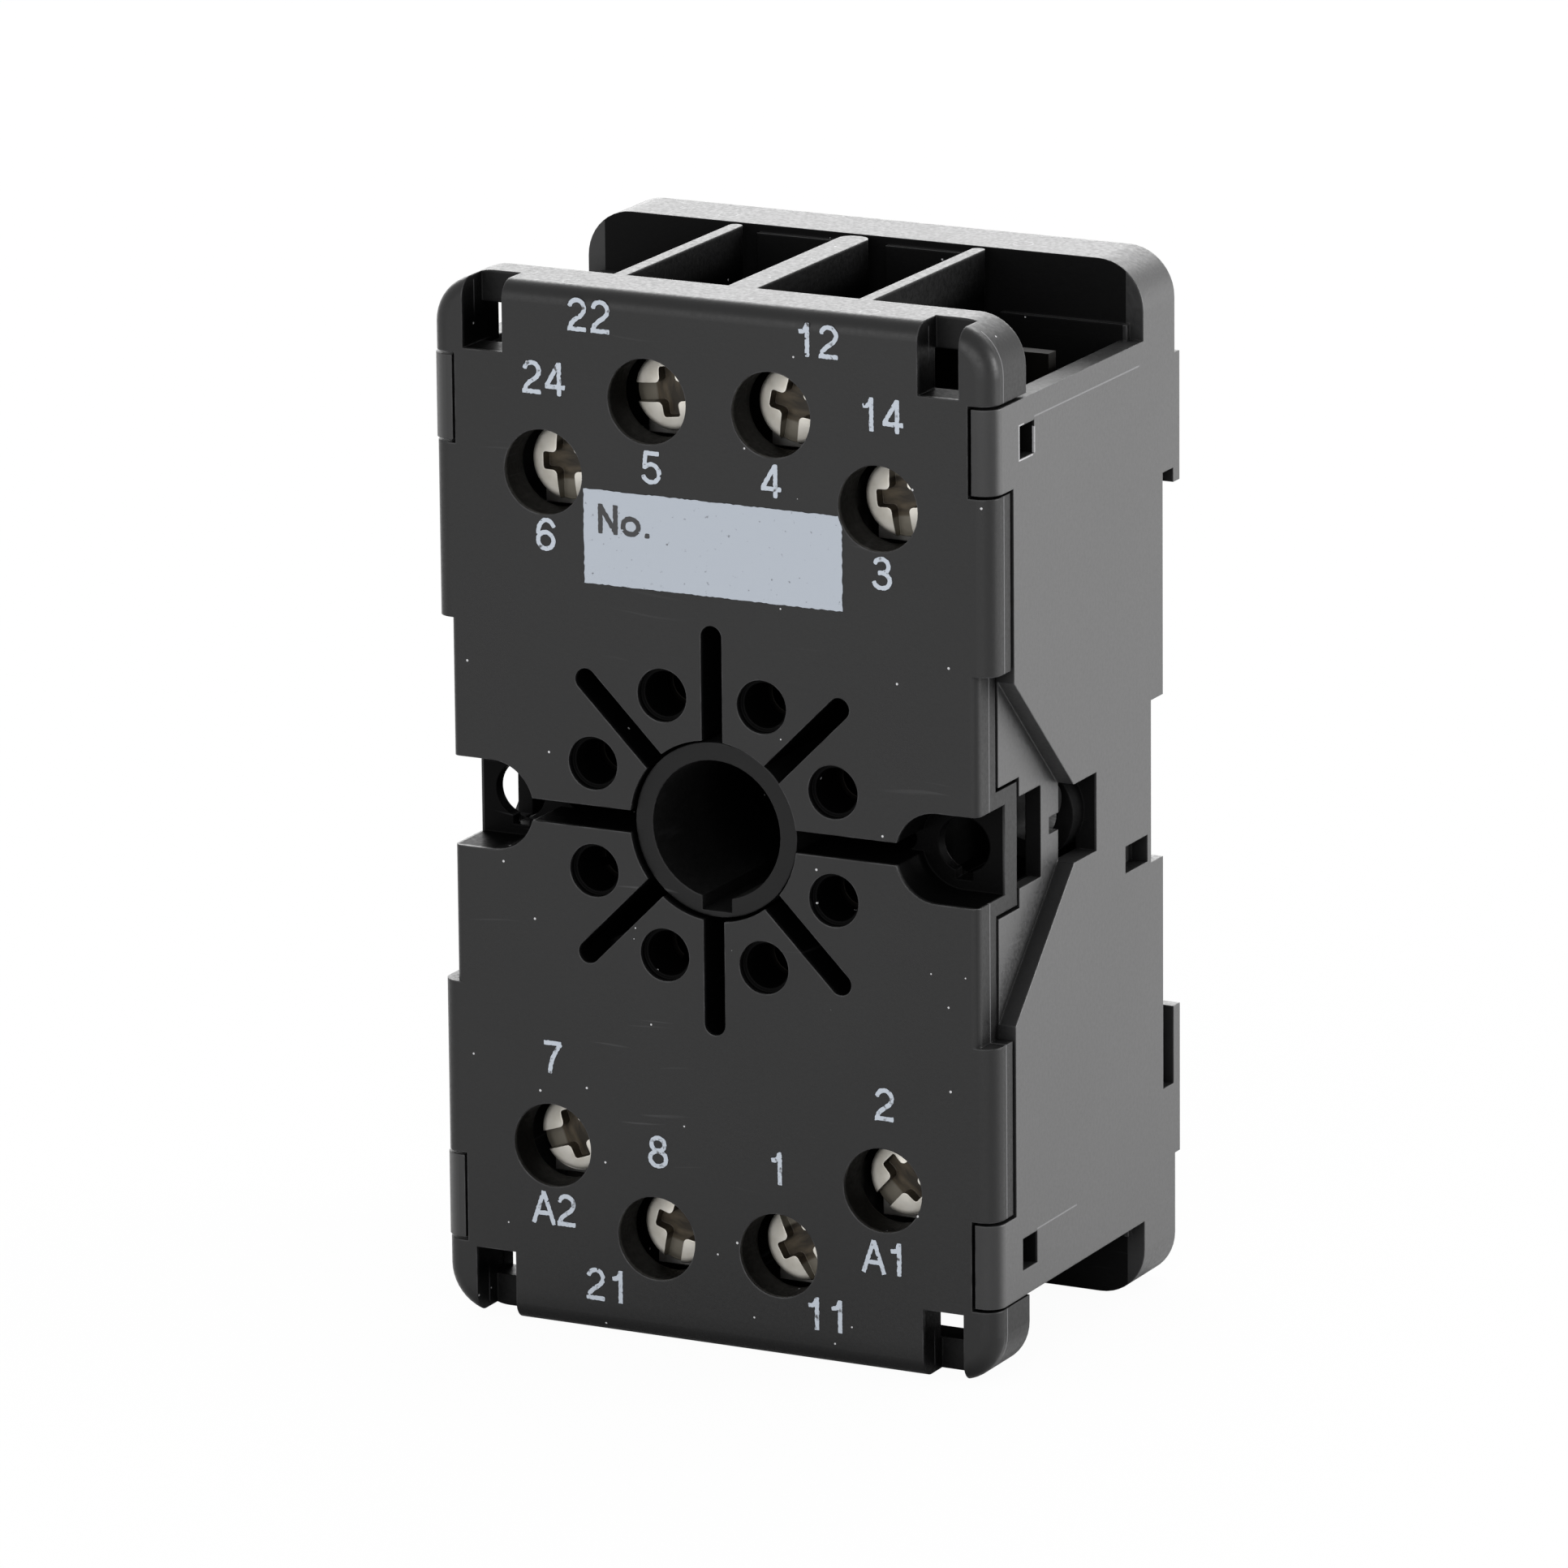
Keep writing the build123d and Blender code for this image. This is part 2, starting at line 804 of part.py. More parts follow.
upper_right = {3: build_contact_strip(3), 4: build_contact_strip(4)}
strips = dict(upper_right)
strips[2] = mirror(upper_right[3], Plane.XY)
strips[1] = mirror(upper_right[4], Plane.XY)
for number in (1, 2, 3, 4):
    strips[9 - number] = mirror(strips[number], Plane.YZ)

for number, (x, z) in screw_places().items():
    save(strips[number], f"contact_strip_{number}")
    save(build_clamp_plate(x, z), f"clamp_plate_{number}")
    save(build_terminal_screw(x, z, driver_turns[number - 1]), f"terminal_screw_{number}")
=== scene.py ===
import math
import random

import bmesh
import bpy
from mathutils import Euler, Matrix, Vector, noise


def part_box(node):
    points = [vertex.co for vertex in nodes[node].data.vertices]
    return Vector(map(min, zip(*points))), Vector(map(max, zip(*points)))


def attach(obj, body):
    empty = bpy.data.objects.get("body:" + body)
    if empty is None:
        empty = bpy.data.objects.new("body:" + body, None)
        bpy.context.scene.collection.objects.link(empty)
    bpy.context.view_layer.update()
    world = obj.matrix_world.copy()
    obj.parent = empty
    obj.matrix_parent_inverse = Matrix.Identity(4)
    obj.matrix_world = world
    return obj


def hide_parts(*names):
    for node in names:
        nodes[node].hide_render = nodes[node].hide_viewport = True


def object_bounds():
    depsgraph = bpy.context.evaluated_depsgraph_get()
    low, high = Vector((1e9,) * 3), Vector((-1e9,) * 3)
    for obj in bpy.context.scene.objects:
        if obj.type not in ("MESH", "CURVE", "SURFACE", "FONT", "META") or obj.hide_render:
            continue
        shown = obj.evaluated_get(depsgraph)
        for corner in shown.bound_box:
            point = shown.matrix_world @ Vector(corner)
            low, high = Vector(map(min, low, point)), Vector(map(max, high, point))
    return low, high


# Relay socket in metres: x runs right, y into the socket from its front face, z up.
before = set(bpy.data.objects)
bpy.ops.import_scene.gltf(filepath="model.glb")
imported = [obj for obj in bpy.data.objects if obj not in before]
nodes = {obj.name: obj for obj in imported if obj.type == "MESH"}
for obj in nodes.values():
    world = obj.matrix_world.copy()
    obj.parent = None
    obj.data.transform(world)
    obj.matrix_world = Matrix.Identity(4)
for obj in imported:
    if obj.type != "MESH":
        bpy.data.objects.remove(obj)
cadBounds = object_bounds()
mm = 0.001
terminals = range(1, 9)
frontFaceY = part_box("front_housing")[0].y
print("frame loaded:", len(nodes), "nodes")


# Shader nodes: settings are the node's own, and sockets go by name, or by place as in0, in1 and so on
def addNode(tree, kind, settings=None, **sockets):
    node = tree.nodes.new(kind)
    for name, value in (settings or {}).items():
        setattr(node, name, value)
    for name, value in sockets.items():
        byPlace = name.startswith("in") and name[2:].isdigit()
        socket = node.inputs[int(name[2:]) if byPlace else name]
        if isinstance(value, bpy.types.NodeSocket):
            tree.links.new(value, socket)
        else:
            socket.default_value = value
    return node


def calculate(tree, operation, first, second=0.0, clamp=False):
    settings = {"operation": operation, "use_clamp": clamp}
    return addNode(tree, "ShaderNodeMath", settings, in0=first, in1=second).outputs[0]


def remap(tree, value, low, high, newLow=0.0, newHigh=1.0, kind="LINEAR"):
    sockets = {"in0": value, "in1": low, "in2": high, "in3": newLow, "in4": newHigh}
    return addNode(tree, "ShaderNodeMapRange", {"interpolation_type": kind}, **sockets).outputs[0]


def vectorMath(tree, operation, **sockets):
    return addNode(tree, "ShaderNodeVectorMath", {"operation": operation}, **sockets).outputs


def mixValues(tree, share, first, second):
    return addNode(tree, "ShaderNodeMix", None, in0=share, in2=first, in3=second).outputs[0]


def mixColours(tree, share, first, second):
    return addNode(tree, "ShaderNodeMix", {"data_type": "RGBA"}, in0=share, in6=first, in7=second).outputs[2]


def grey(level):
    return (level, level, level, 1.0)


def objectPlace(tree):
    return addNode(tree, "ShaderNodeTexCoord").outputs["Object"]


def axesOf(tree, vector):
    return addNode(tree, "ShaderNodeSeparateXYZ", None, Vector=vector).outputs


def distanceFromAxis(tree, place):
    flat = vectorMath(tree, "MULTIPLY", in0=place, in1=(1, 0, 1))[0]
    return vectorMath(tree, "LENGTH", in0=flat)["Value"]


def stretch(tree, place, scale):
    return addNode(tree, "ShaderNodeMapping", None, Vector=place, Scale=scale).outputs[0]


def noiseAt(tree, place, scale, detail):
    return addNode(tree, "ShaderNodeTexNoise", None, Vector=place, Scale=scale, Detail=detail).outputs


# A new node group, with the sockets that its nodes read from and the ones that they feed
def newGroup(name, inputs, outputs):
    group = bpy.data.node_groups.new(name, "ShaderNodeTree")
    for label, kind, value in inputs:
        socket = group.interface.new_socket(label, in_out="INPUT", socket_type=kind)
        if value is not None:
            socket.default_value = value
    for label, kind in outputs:
        group.interface.new_socket(label, in_out="OUTPUT", socket_type=kind)
    return group, group.nodes.new("NodeGroupInput").outputs, group.nodes.new("NodeGroupOutput").inputs


def useGroup(tree, group, **values):
    return addNode(tree, "ShaderNodeGroup", {"node_tree": group}, **values).outputs


floatSocket, vectorSocket = "NodeSocketFloat", "NodeSocketVector"

# Fine grain of a spark-eroded mould, with slow cloudy change on top
grainValues = {"grainScale": 4000.0, "grainDetail": 3.0, "cloudScale": 90.0, "cloudDetail": 2.0}


def makeMouldGrain(values):
    group, _, out = newGroup("mouldGrain", [], [("grain", floatSocket), ("cloud", floatSocket)])
    place = objectPlace(group)
    for name in ("grain", "cloud"):
        patches = noiseAt(group, place, values[name + "Scale"], values[name + "Detail"])
        group.links.new(patches["Fac"], out[name])
    return group


# Softened corners: a rounded normal, and a mask along the edges that handling has polished
edgeValues = {
    "samples": 6, "wearStart": 0.995, "wearFull": 0.8,
    "patchScale": 900.0, "patchDetail": 3.0, "patchStart": 0.35, "patchFull": 0.65,
}


def makeEdgeWear(values):
    group, given, out = newGroup("edgeWear", [("radius", floatSocket, None)],
                                 [("worn", floatSocket), ("roundedNormal", vectorSocket)])
    settings = {"samples": values["samples"]}
    rounded = addNode(group, "ShaderNodeBevel", settings, Radius=given["radius"]).outputs[0]
    flat = addNode(group, "ShaderNodeNewGeometry").outputs["Normal"]
    turn = vectorMath(group, "DOT_PRODUCT", in0=rounded, in1=flat)["Value"]
    edge = remap(group, turn, values["wearStart"], values["wearFull"])
    patches = noiseAt(group, objectPlace(group), values["patchScale"], values["patchDetail"])["Fac"]
    broken = remap(group, patches, values["patchStart"], values["patchFull"])
    group.links.new(calculate(group, "MULTIPLY", edge, broken), out["worn"])
    group.links.new(rounded, out["roundedNormal"])
    return group


# Sparse pale specks of dust
def makeDustSpecks():
    inputs = [(name, floatSocket, None) for name in ("scale", "size", "share")]
    group, given, out = newGroup("dustSpecks", inputs, [("specks", floatSocket)])
    place = objectPlace(group)
    cells = addNode(group, "ShaderNodeTexVoronoi", None, Vector=place, Scale=given["scale"]).outputs
    draw = addNode(group, "ShaderNodeSeparateColor", None, in0=cells["Color"]).outputs[0]
    chosen = calculate(group, "LESS_THAN", draw, given["share"])
    near = calculate(group, "LESS_THAN", cells["Distance"], given["size"])
    group.links.new(calculate(group, "MULTIPLY", chosen, near), out["specks"])
    return group


# Painted shade: a mask, white inside the wells, slots and windows, in the key bore and on deep walls that
# face the front, where little light comes back; it lowers the colour and the refraction there.
# The reach is in metres and can be given for each moulding. The limits are shares of that reach, and parts
# of the surface's direction.
insideReach = {
    "depth": 0.001, "halfWidth": 0.017, "halfHeight": 0.031, "keyDepth": 0.001, "keyRadius": 0.0,
    "openHeight": 0.031, "rimShare": 1.0, "wallDepth": 0.006, "wallHalfWidth": 0.01765, "backDepth": 0.0198,
}
insideLimits = {
    "fadeStart": 0.2, "fadeEnd": 1.0, "rimStart": 0.92, "rimEnd": 0.955, "endFacing": 0.3,
    "frontFacing": -0.6, "keyShare": 0.4,
}


def makePaintedShadeInside(reach, limits):
    group, given, out = newGroup(
        "deepInside", [(name, floatSocket, value) for name, value in reach.items()],
        [("inside", floatSocket), ("key", floatSocket)])
    place = objectPlace(group)
    parts = axesOf(group, place)
    before = calculate(group, "LESS_THAN", parts["Y"], given["backDepth"])
    near = calculate(group, "LESS_THAN", distanceFromAxis(group, place), given["keyRadius"])
    key = calculate(group, "MULTIPLY", near, before)
    past = calculate(group, "DIVIDE", parts["Y"], mixValues(group, key, given["depth"], given["keyDepth"]))
    inside = remap(group, past, limits["fadeStart"], limits["fadeEnd"], kind="SMOOTHSTEP")
    for axis, limit in (("X", "halfWidth"), ("Z", "halfHeight")):
        size = calculate(group, "ABSOLUTE", parts[axis])
        inside = calculate(group, "MULTIPLY", inside, calculate(group, "LESS_THAN", size, given[limit]))
    height = calculate(group, "ABSOLUTE", parts["Z"])
    rim = remap(group, calculate(group, "DIVIDE", height, given["halfHeight"]),
                limits["rimStart"], limits["rimEnd"], 1.0, given["rimShare"])
    inside = calculate(group, "MULTIPLY", inside, rim)
    normal = axesOf(group, addNode(group, "ShaderNodeNewGeometry").outputs["True Normal"])
    endFace = calculate(group, "GREATER_THAN", calculate(group, "ABSOLUTE", normal["Z"]), limits["endFacing"])
    atEnd = calculate(group, "GREATER_THAN", height, given["openHeight"])
    enclosed = calculate(group, "SUBTRACT", before, calculate(group, "MULTIPLY", atEnd, endFace))
    inside = calculate(group, "MULTIPLY", inside, enclosed, clamp=True)
    wall = calculate(group, "LESS_THAN", normal["Y"], limits["frontFacing"])
    deep = calculate(group, "GREATER_THAN", parts["Y"], given["wallDepth"])
    within = calculate(group, "LESS_THAN", calculate(group, "ABSOLUTE", parts["X"]), given["wallHalfWidth"])
    wall = calculate(group, "MULTIPLY", calculate(group, "MULTIPLY", wall, deep), within)
    inside = calculate(group, "MAXIMUM", inside, wall)
    inside = calculate(group, "MAXIMUM", inside, calculate(group, "MULTIPLY", key, limits["keyShare"]))
    group.links.new(inside, out["inside"])
    group.links.new(key, out["key"])
    return group


# Fine line left by a joint in the mould, between two places along one axis
def makeWitnessLine():
    names = ("across", "place", "along", "start", "end", "halfWidth")
    inputs = [(name, floatSocket, None) for name in names]
    group, given, out = newGroup("witnessLine", inputs, [("line", floatSocket)])
    away = calculate(group, "ABSOLUTE", calculate(group, "SUBTRACT", given["across"], given["place"]))
    line = calculate(group, "LESS_THAN", away, given["halfWidth"])
    for operation, limit in (("GREATER_THAN", "start"), ("LESS_THAN", "end")):
        line = calculate(group, "MULTIPLY", line, calculate(group, operation, given["along"], given[limit]))
    group.links.new(line, out["line"])
    return group


# Round mark of an ejector pin, on both sides of the middle
pinValues = {"radius": 0.0006, "halfWidth": 0.00006}


def makeEjectorMark(values):
    group, given, out = newGroup("ejectorMark", [("place", vectorSocket, None)], [("ring", floatSocket)])
    parts = axesOf(group, objectPlace(group))
    side = addNode(group, "ShaderNodeCombineXYZ", None, X=calculate(group, "ABSOLUTE", parts["X"]),
                   Y=parts["Y"], Z=parts["Z"]).outputs[0]
    away = vectorMath(group, "DISTANCE", in0=side, in1=given["place"])["Value"]
    rim = calculate(group, "ABSOLUTE", calculate(group, "SUBTRACT", away, values["radius"]))
    group.links.new(calculate(group, "LESS_THAN", rim, values["halfWidth"]), out["ring"])
    return group


# Short hair-fine scratches that run roughly across, in patches
scratchValues = {
    "waveScale": 120.0, "bend": (0.0, 0.0, 0.0016), "stretch": (110.0, 110.0, 2600.0), "hairStart": 0.70,
    "hairFull": 0.76, "patchScale": 70.0, "patchStart": 0.5, "patchFull": 0.72, "detail": 1.0,
}


def makeHairScratches(values):
    group, _, out = newGroup("hairScratches", [], [("scratches", floatSocket)])
    place = objectPlace(group)
    wavy = noiseAt(group, place, values["waveScale"], values["detail"])["Color"]
    bent = vectorMath(group, "MULTIPLY_ADD", in0=wavy, in1=values["bend"], in2=place)[0]
    long = stretch(group, bent, values["stretch"])
    hairs = noiseAt(group, long, 1.0, values["detail"])["Fac"]
    patches = noiseAt(group, place, values["patchScale"], values["detail"])["Fac"]
    fine = remap(group, hairs, values["hairStart"], values["hairFull"])
    where = remap(group, patches, values["patchStart"], values["patchFull"])
    group.links.new(calculate(group, "MULTIPLY", fine, where), out["scratches"])
    return group


mouldGrain = makeMouldGrain(grainValues)
witnessLine = makeWitnessLine()
ejectorMark = makeEjectorMark(pinValues)
hairScratches = makeHairScratches(scratchValues)
edgeWear = makeEdgeWear(edgeValues)
dustSpecks = makeDustSpecks()
deepInside = makePaintedShadeInside(insideReach, insideLimits)


def newMaterial(name):
    material = bpy.data.materials.new(name)
    material.use_nodes = True
    return material, material.node_tree, material.node_tree.nodes["Principled BSDF"]


# Black thermoplastic of both housings and the clip. Lengths are in metres, except in the moulding marks and
# in the windows, which take painted shade: lines, windows and flash are (across axis, place, along axis,
# start, end) in mm, and pins (x, y, z) in mm.
plasticLook = {
    "front": {
        "colour": (0.0056, 0.0056, 0.0058, 1), "dustShare": 0.28, "glossRamp": (0.58, 0.76),
        "inside": {"depth": 0.0004, "halfWidth": 0.0175, "halfHeight": 0.0323, "rimShare": 0.45},
        "lines": [("Y", 1.56, "Z", -32.0, 32.0)], "pins": [(9.9, 1.7, 32.45)], "windows": [], "flash": [],
    },
    "base": {
        "colour": (0.018, 0.018, 0.0184, 1), "dustShare": 0.28 / 6, "glossRamp": (0.15, 0.6),
        "inside": {"depth": 0.0030, "halfWidth": 0.0169, "halfHeight": 0.0312, "openHeight": 0.04,
                   "keyDepth": 0.0120, "keyRadius": 0.0064},
        "lines": [("Z", 26.2, "Y", 5.5, 20.0), ("Z", -23.9, "Y", 5.5, 11.0),
                  ("X", -13.6, "Z", 32.3, 32.6), ("X", -16.4, "Z", 32.3, 32.6)],
        "pins": [(10.0, 22.3, 32.45)],
        "windows": [("Y", 4.5, "Z", 24.0, 26.0), ("Y", 4.5, "Z", -26.0, -24.0), ("Y", 7.42, "Z", -2.8, 2.8),
                    ("Y", 11.9, "Z", -2.4, 2.4), ("Y", 12.95, "Z", -2.4, 2.4)],
        "flash": [("Y", 3.44, "Z", 23.95, 26.0), ("Z", 23.93, "Y", 3.4, 5.3), ("Z", 26.04, "Y", 3.4, 4.1),
                  ("Y", 5.54, "Z", 24.0, 25.6)],
    },
    "clip": {
        "colour": (0.016, 0.016, 0.016, 1), "dustShare": 0.28 / 6, "glossRamp": (0.15, 0.6),
        "inside": {"backDepth": 0.0}, "lines": [], "pins": [], "windows": [], "flash": [],
    },
    "grainRange": (0.3, 0.7), "grainDepth": 0.000007, "cloudShade": 0.10,
    "roughness": 0.42, "roughnessSpread": 0.14, "refraction": 1.41, "grazingRefraction": 1.95,
    # Painted shade: insideShade and insideRefraction lower the colour and the refraction where the inside
    # mask is white, and the crevice values add shade from ambient occlusion.
    "facingBlend": 0.5, "insideShade": 0.22, "insideRefraction": 1.12,
    "crevice": 0.0022, "creviceSamples": 5, "creviceFull": 0.25, "creviceShade": 0.75,
    "edgeRadius": 0.00014, "wornColour": (0.13, 0.13, 0.135, 1), "wearAmount": 0.5, "wearFade": 0.5,
    "dustColour": (0.42, 0.42, 0.43, 1), "dustSize": 0.072, "dustScale": 900.0, "scratchAmount": 0.22,
    "lineHalfWidth": 0.05, "lineShade": 0.8,
    "windowHalfWidth": 1.03, "wallSkin": 0.01866, "windowInner": 0.012,
    "flashColour": (0.34, 0.34, 0.35, 1), "flashStart": 0.30, "flashFade": 0.1,
}


# All lines and ejector marks of one moulding, in one mask
def mouldMarks(tree, lines, halfWidth, pins=()):
    parts = axesOf(tree, objectPlace(tree))
    marks = 0.0
    for across, place, along, start, end in lines:
        line = useGroup(tree, witnessLine, across=parts[across], place=place * mm, along=parts[along],
                        start=start * mm, end=end * mm, halfWidth=halfWidth * mm)
        marks = calculate(tree, "MAXIMUM", line[0], marks)
    for place in pins:
        ring = useGroup(tree, ejectorMark, place=[value * mm for value in place])
        marks = calculate(tree, "MAXIMUM", ring[0], marks)
    return marks


def distanceSideways(tree):
    return calculate(tree, "ABSOLUTE", axesOf(tree, objectPlace(tree))["X"])


# Painted shade: white on the walls of the side windows, behind the outer skin, where the colour and the
# refraction are lowered
def windowShadeMask(tree, windows, look):
    sideways = distanceSideways(tree)
    behind = calculate(tree, "MULTIPLY", calculate(tree, "LESS_THAN", sideways, look["wallSkin"]),
                       calculate(tree, "GREATER_THAN", sideways, look["windowInner"]))
    return calculate(tree, "MULTIPLY", mouldMarks(tree, windows, look["windowHalfWidth"]), behind)


# White on the ragged flash around the upper side window, on the outer skin alone
def flashMask(tree, flash, grain, look):
    outside = calculate(tree, "GREATER_THAN", distanceSideways(tree), look["wallSkin"])
    frayed = calculate(tree, "MULTIPLY", mouldMarks(tree, flash, look["lineHalfWidth"]), outside)
    ragged = remap(tree, grain, look["flashStart"], look["flashStart"] + look["flashFade"])
    return calculate(tree, "MULTIPLY", frayed, ragged)


def makePlastic(name, moulding, look):
    material, tree, shader = newMaterial(name)
    room = useGroup(tree, deepInside, **moulding["inside"])
    # Painted shade in crevices: ambient occlusion darkens the colour and lowers the refraction there, through
    # the same mask as the inside.
    shelter = addNode(tree, "ShaderNodeAmbientOcclusion", {"samples": look["creviceSamples"]},
                      Distance=look["crevice"]).outputs["AO"]
    paintedCreviceShade = calculate(tree, "MULTIPLY", remap(tree, shelter, 1.0, look["creviceFull"]), look["creviceShade"])
    inside = calculate(tree, "MAXIMUM", room["inside"], paintedCreviceShade)
    if moulding["windows"]:
        inside = calculate(tree, "MAXIMUM", inside, windowShadeMask(tree, moulding["windows"], look))
    grain = useGroup(tree, mouldGrain)
    edges = useGroup(tree, edgeWear, radius=look["edgeRadius"])
    # The moulding's own colour with painted shade on top: darker inside, in crevices and in the key bore,
    # which also takes the front's darker colour
    own = mixColours(tree, room["key"], moulding["colour"], look["front"]["colour"])
    shade = remap(tree, grain["cloud"], *look["grainRange"], 1 - look["cloudShade"], 1 + look["cloudShade"])
    shade = calculate(tree, "MULTIPLY", shade, remap(tree, inside, 0.0, 1.0, 1.0, look["insideShade"]))
    colour = vectorMath(tree, "SCALE", in0=own, Scale=shade)[0]
    # Worn edges, scratches and moulding marks in one paler colour, then flash and dust. The worn edges and
    # the marks fade out under the painted shade.
    wear = remap(tree, inside, 0.0, look["wearFade"], look["wearAmount"], 0.0)
    handled = calculate(tree, "MULTIPLY", edges["worn"], wear)
    scratches = calculate(tree, "MULTIPLY", useGroup(tree, hairScratches)[0], look["scratchAmount"])
    marks = mouldMarks(tree, moulding["lines"], look["lineHalfWidth"], moulding["pins"])
    marks = calculate(tree, "MULTIPLY", marks, calculate(tree, "SUBTRACT", 1.0, inside))
    for share in (handled, scratches, calculate(tree, "MULTIPLY", marks, look["lineShade"])):
        colour = mixColours(tree, share, colour, look["wornColour"])
    if moulding["flash"]:
        frayed = flashMask(tree, moulding["flash"], grain["grain"], look)
        colour = mixColours(tree, frayed, colour, look["flashColour"])
    dust = useGroup(tree, dustSpecks, scale=look["dustScale"], size=look["dustSize"],
                    share=moulding["dustShare"])
    colour = mixColours(tree, dust["specks"], colour, look["dustColour"])
    tree.links.new(colour, shader.inputs["Base Color"])
    middle, spread = look["roughness"], look["roughnessSpread"] / 2
    rough = remap(tree, grain["grain"], *look["grainRange"], middle - spread, middle + spread)
    tree.links.new(rough, shader.inputs["Roughness"])
    bump = addNode(tree, "ShaderNodeBump", None, Height=grain["grain"], Normal=edges["roundedNormal"],
                   Distance=look["grainDepth"])
    tree.links.new(bump.outputs[0], shader.inputs["Normal"])
    facing = addNode(tree, "ShaderNodeLayerWeight", None, Blend=look["facingBlend"]).outputs["Facing"]
    gloss = remap(tree, facing, *moulding["glossRamp"], look["refraction"], look["grazingRefraction"])
    tree.links.new(mixValues(tree, inside, gloss, look["insideRefraction"]), shader.inputs["IOR"])
    return material


housingPlastic = makePlastic("housingPlastic", plasticLook["front"], plasticLook)
basePlastic = makePlastic("basePlastic", plasticLook["base"], plasticLook)
clipPlastic = makePlastic("clipPlastic", plasticLook["clip"], plasticLook)

# Plated metal of the screws, clamp plates and contact strips, whose colour is painted shade, nearly black.
# The screws' own values follow, in mm from the axis and from the front face: a shinier rim, and painted shade
# in the driver recess, dark brown and lighter towards the slot's ends.
metalLook = {
    "nickel": {"colour": (0.84, 0.81, 0.74, 1), "stain": (0.45, 0.40, 0.30, 1), "metallic": 0.35,
               "roughness": 0.38, "streaks": 1400.0},
    "zinc": {"colour": (0.50, 0.49, 0.47, 1), "stain": (0.26, 0.24, 0.21, 1), "metallic": 1.0,
             "roughness": 0.38, "streaks": 900.0},
    # The contact strips' colour is painted shade: nearly black, far darker than nickel plate.
    "contact": {"colour": (0.011, 0.010, 0.009, 1), "stain": (0.004, 0.004, 0.003, 1), "metallic": 1.0,
                "roughness": 0.42, "streaks": 700.0},
    "streakStretch": (1.0, 0.12, 0.3), "streakDetail": 4.0, "streakRange": (0.3, 0.7),
    "streakDepth": 0.000010, "blotchDetail": 3.0, "stainRange": (0.45, 0.75), "stainShare": 0.45,
    "edgeRadius": 0.00008, "smoother": 0.06, "rougher": 0.1,
    "rimStart": 2.0, "rimEnd": 2.3, "rimMetallic": 0.9, "recessFront": 3.25, "bareRange": (-0.25, -0.5),
    # Painted shade in the driver recess
    "recessColour": (0.020, 0.015, 0.009, 1), "recessStreak": (0.085, 0.066, 0.042, 1),
    "recessRange": (0.45, 0.7),
    "armColour": (0.17, 0.155, 0.125, 1), "armStart": 1.15, "armFade": 0.15,
}


# White where the head's own surface shows, black on the walls and floor of its recess, which take painted
# shade
def bareMask(tree, place, look):
    outside = calculate(tree, "LESS_THAN", axesOf(tree, place)["Y"], look["recessFront"] * mm)
    normal = addNode(tree, "ShaderNodeNewGeometry").outputs["True Normal"]
    return calculate(tree, "MULTIPLY", outside, remap(tree, axesOf(tree, normal)["Y"], *look["bareRange"]))


def makeMetal(name, metal, look, hasRecess=False):
    material, tree, shader = newMaterial(name)
    place = objectPlace(tree)
    stretched = stretch(tree, place, look["streakStretch"])
    streaks = noiseAt(tree, stretched, metal["streaks"], look["streakDetail"])["Fac"]
    blotches = noiseAt(tree, place, metal["streaks"] / 2, look["blotchDetail"])["Fac"]
    edges = useGroup(tree, edgeWear, radius=look["edgeRadius"])
    stain = calculate(tree, "MULTIPLY", remap(tree, blotches, *look["stainRange"]), look["stainShare"])
    colour = mixColours(tree, stain, metal["colour"], metal["stain"])
    shader.inputs["Metallic"].default_value = metal["metallic"]
    if hasRecess:
        rim = remap(tree, distanceFromAxis(tree, place), look["rimStart"] * mm, look["rimEnd"] * mm,
                    metal["metallic"], look["rimMetallic"])
        tree.links.new(rim, shader.inputs["Metallic"])
        # Painted shade in the driver recess: dark brown with streaks, lighter towards the slot's ends
        recessPaintedShade = mixColours(tree, remap(tree, streaks, *look["recessRange"]), look["recessColour"],
                           look["recessStreak"])
        across = calculate(tree, "ABSOLUTE", axesOf(tree, place)["X"])
        arm = remap(tree, across, look["armStart"] * mm, (look["armStart"] + look["armFade"]) * mm)
        recessPaintedShade = mixColours(tree, arm, recessPaintedShade, look["armColour"])
        colour = mixColours(tree, bareMask(tree, place, look), recessPaintedShade, colour)
    tree.links.new(colour, shader.inputs["Base Color"])
    rough = remap(tree, streaks, *look["streakRange"], metal["roughness"] - look["smoother"],
                  metal["roughness"] + look["rougher"])
    tree.links.new(rough, shader.inputs["Roughness"])
    bump = addNode(tree, "ShaderNodeBump", None, Height=streaks, Normal=edges["roundedNormal"],
                   Distance=look["streakDepth"])
    tree.links.new(bump.outputs[0], shader.inputs["Normal"])
    return material


screwNickel = makeMetal("screwNickel", metalLook["nickel"], metalLook, hasRecess=True)
platedSteel = makeMetal("platedSteel", metalLook["zinc"], metalLook)
contactNickel = makeMetal("contactNickel", metalLook["contact"], metalLook)

# Pad-printed ink, thin enough to break up over the grain
inkLook = {
    "numbers": {"colour": (0.36, 0.395, 0.445, 1), "gaps": 0.66},
    "field": {"colour": (0.315, 0.345, 0.39, 1), "gaps": 0.74},
    "lettering": {"colour": (0.02, 0.02, 0.022, 1), "gaps": 0.78},
    "under": (0.05, 0.05, 0.053, 1), "roughness": 0.55, "mottleScale": 2600.0, "mottleDetail": 3.0,
    "gapBefore": 0.08, "gapAfter": 0.04,
}


